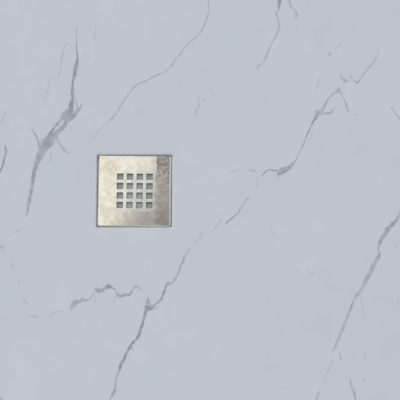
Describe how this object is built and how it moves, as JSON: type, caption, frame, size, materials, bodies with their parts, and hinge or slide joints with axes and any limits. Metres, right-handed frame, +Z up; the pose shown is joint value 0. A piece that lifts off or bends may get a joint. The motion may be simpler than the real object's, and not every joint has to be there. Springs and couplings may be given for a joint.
{
  "type": "shower tray",
  "caption": "Low rectangular shower tray with marble-effect gelcoat over cast mineral resin, gentle falls to a square perforated stainless grate, and a bottle trap with a swivel outlet.",
  "frame": {"origin": "centre of the flat underside that is bedded on the floor", "axes": "+Z up, +X along the 1000 mm length away from the drain's end, +Y along the 800 mm width; the drain stands on the X axis at x = -0.22"},
  "size_m": [1, 0.8, 0.137],
  "materials": {
    "marble_gelcoat": "satin gelcoat, pale cool grey with thin grey marble veins",
    "raw_resin": "raw cast mineral resin, lightly ground underside",
    "brushed_stainless": "brushed stainless sheet with rolled edges",
    "grey_plastic": "pale grey moulded polypropylene",
    "white_plastic": "white moulded polypropylene",
    "black_rubber": "matt moulded rubber",
    "screw_steel": "plain stainless screws",
    "insert_brass": "turned brass"
  },
  "bodies": {
    "root": {"tray_core": "raw_resin", "gelcoat_skin": "marble_gelcoat", "waste_flange": "grey_plastic", "flange_gasket": "black_rubber", "flange_screws": "screw_steel", "threaded_inserts": "insert_brass", "trap_gasket": "black_rubber", "trap_body": "white_plastic", "ball_seal": "black_rubber", "ball_nut": "white_plastic"},
    "dip_tube": {"dip_tube": "grey_plastic", "dip_tube_oring": "black_rubber"},
    "hair_catcher": {"hair_catcher": "grey_plastic"},
    "grate": {"grate_plate": "brushed_stainless", "grate_feet": "black_rubber"},
    "swivel_tail": {"swivel_tail": "white_plastic", "cone_seal": "black_rubber", "slip_ring": "grey_plastic", "coupling_nut": "white_plastic"}
  },
  "joints": [
    {"name": "dip_tube_lift", "type": "slide", "parent": "root", "child": "dip_tube", "axis": [0, 0, 1], "range_m": [0, 0.125]},
    {"name": "hair_catcher_lift", "type": "slide", "parent": "dip_tube", "child": "hair_catcher", "axis": [0, 0, 1], "range_m": [0, 0.04]},
    {"name": "grate_lift", "type": "slide", "parent": "hair_catcher", "child": "grate", "axis": [0, 0, 1], "range_m": [0, 0.06]},
    {"name": "outlet_swivel", "type": "hinge", "parent": "root", "child": "swivel_tail", "pos_m": [-0.3083, 0, -0.042], "axis": [0, 0, 1], "range_deg": [-15, 15]}
  ]
}
